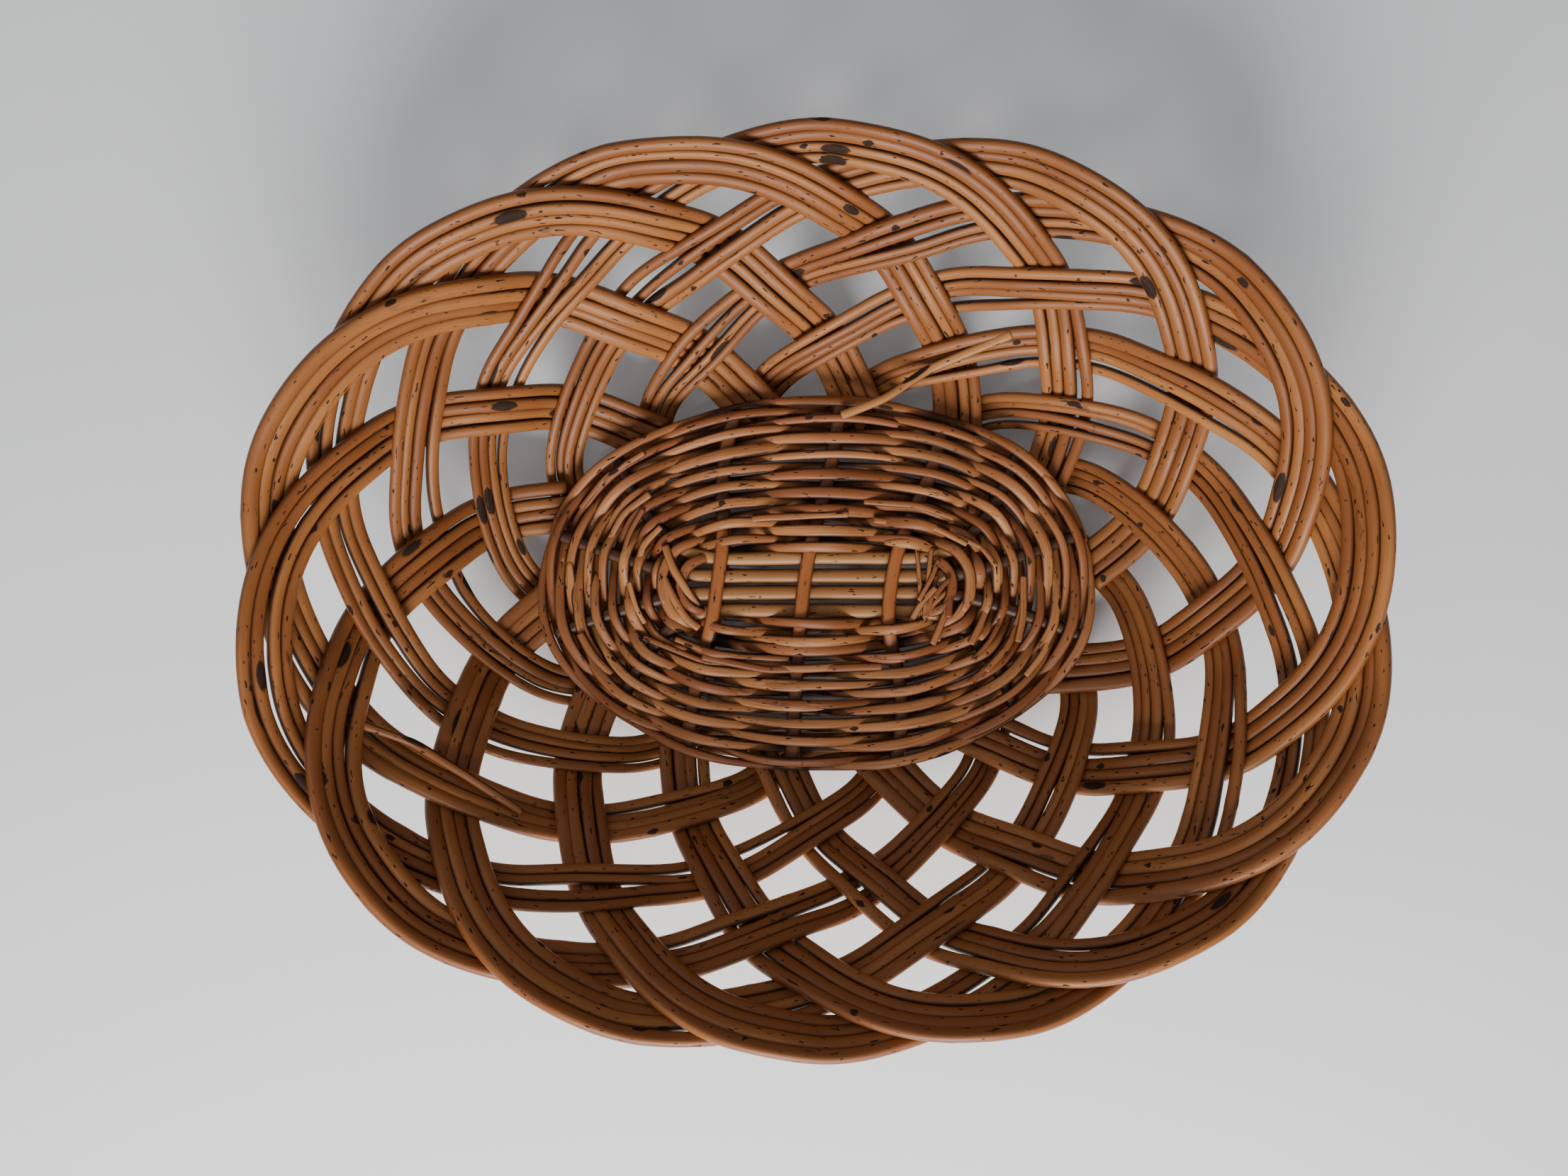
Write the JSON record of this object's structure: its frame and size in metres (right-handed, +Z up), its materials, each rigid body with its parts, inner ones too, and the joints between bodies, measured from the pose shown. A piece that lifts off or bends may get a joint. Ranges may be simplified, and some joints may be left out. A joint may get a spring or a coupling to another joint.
{
  "type": "woven fruit basket",
  "caption": "Oval openwork willow fruit basket with a woven floor, a flared wall of looping bands of rods, and a flat foot ring.",
  "frame": {"origin": "centre of the overall box, on the ground under the foot ring", "axes": "+X along the basket's long axis, +Z up through the open mouth"},
  "size_m": [0.3384, 0.2774, 0.0858],
  "materials": {
    "varnished_willow": "glossy varnish",
    "varnished_weaver": "satin varnish",
    "pale_stick": "satin varnish",
    "cross_stick_willow": "satin varnish"
  },
  "bodies": {
    "root": {"band_01": "varnished_willow", "band_02": "varnished_willow", "band_03": "varnished_willow", "band_04": "varnished_willow", "band_05": "varnished_willow", "band_06": "varnished_willow", "band_07": "varnished_willow", "band_08": "varnished_willow", "band_09": "varnished_willow", "band_10": "varnished_willow", "band_11": "varnished_willow", "band_12": "varnished_willow", "band_13": "varnished_willow", "band_14": "varnished_willow", "cross_stick_1": "cross_stick_willow", "cross_stick_2": "cross_stick_willow", "cross_stick_3": "cross_stick_willow", "long_stick_1": "pale_stick", "long_stick_2": "pale_stick", "long_stick_3": "pale_stick", "long_stick_4": "pale_stick", "weave_row_01": "varnished_weaver", "weave_row_02": "varnished_weaver", "weave_row_03": "varnished_weaver", "weave_row_04": "varnished_weaver", "weave_row_05": "varnished_weaver", "weave_row_06": "varnished_weaver", "weave_row_07": "varnished_weaver", "weave_row_08": "varnished_weaver", "weave_row_09": "varnished_weaver", "weave_row_10": "varnished_weaver", "weave_row_11": "varnished_weaver", "weave_row_12": "varnished_weaver", "weave_row_13": "varnished_weaver", "weave_row_14": "varnished_weaver", "weave_row_15": "varnished_weaver", "weave_row_16": "varnished_weaver"}
  },
  "joints": []
}
